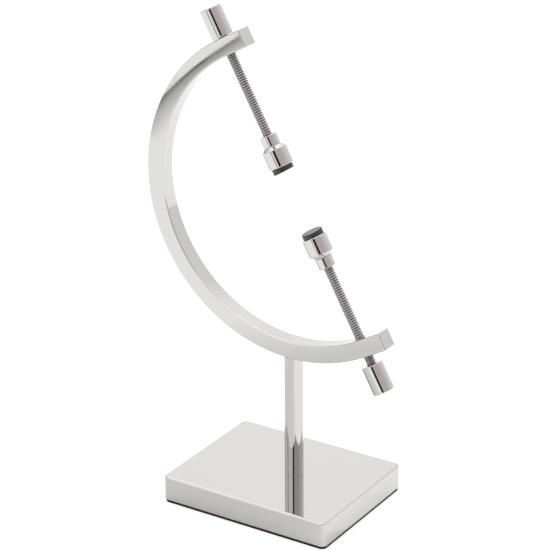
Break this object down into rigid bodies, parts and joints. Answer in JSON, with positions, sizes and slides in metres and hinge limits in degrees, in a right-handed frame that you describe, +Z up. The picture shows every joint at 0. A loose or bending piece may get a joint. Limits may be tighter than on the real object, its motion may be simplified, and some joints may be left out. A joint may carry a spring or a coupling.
{
  "type": "adjustable caliper display stand",
  "caption": "Weighted block, post and C-shaped arm with two facing clamping screws whose swivel cups carry rubber pads that hold a specimen.",
  "frame": {"origin": "centre of the underside of the felt sheet, on the surface the stand rests on", "axes": "+Z up, +X along the long side of the base towards the open side of the arm, +Y along the short side of the base"},
  "size_m": [0.1231, 0.0666, 0.2244],
  "materials": {
    "polished_chrome": "mirror-polished chrome plate",
    "thread_chrome": "bright plated thread, a little duller than the polished parts",
    "fastener_steel": "plain zinc-plated steel",
    "clip_steel": "dark spring steel",
    "pad_rubber": "matt black rubber",
    "base_felt": "dark felt"
  },
  "bodies": {
    "stand": {"base_block": "polished_chrome", "base_sheet": "base_felt", "post_screw": "fastener_steel", "post_washer": "fastener_steel", "post": "polished_chrome", "arm_stud": "fastener_steel", "arm": "polished_chrome"},
    "upper_cup": {"upper_cup": "polished_chrome", "upper_pad": "pad_rubber"},
    "upper_screw": {"upper_spindle": "thread_chrome", "upper_knob": "polished_chrome", "upper_collar": "polished_chrome", "upper_clip": "clip_steel"},
    "lower_cup": {"lower_cup": "polished_chrome", "lower_pad": "pad_rubber"},
    "lower_screw": {"lower_spindle": "thread_chrome", "lower_knob": "polished_chrome", "lower_collar": "polished_chrome", "lower_clip": "clip_steel"}
  },
  "joints": [
    {"name": "upper_cup_slide", "type": "slide", "parent": "stand", "child": "upper_cup", "axis": [-0.4848, 0, 0.8746], "range_m": [0, 0.0373]},
    {"name": "upper_screw_turn", "type": "hinge", "parent": "upper_cup", "child": "upper_screw", "pos_m": [0.00168, 0, 0.15585], "axis": [-0.4848, 0, 0.8746], "range_deg": [0, 12688]},
    {"name": "lower_cup_slide", "type": "slide", "parent": "stand", "child": "lower_cup", "axis": [0.4848, 0, -0.8746], "range_m": [-0.004, 0.0333]},
    {"name": "lower_screw_turn", "type": "hinge", "parent": "lower_cup", "child": "lower_screw", "pos_m": [0.01526, 0, 0.13136], "axis": [0.4848, 0, -0.8746], "range_deg": [-1361, 11328]}
  ],
  "couplings": [
    {"joint": "upper_screw_turn", "follows": "upper_cup_slide", "rad_per_m": 5936.9},
    {"joint": "lower_screw_turn", "follows": "lower_cup_slide", "rad_per_m": 5936.9}
  ]
}
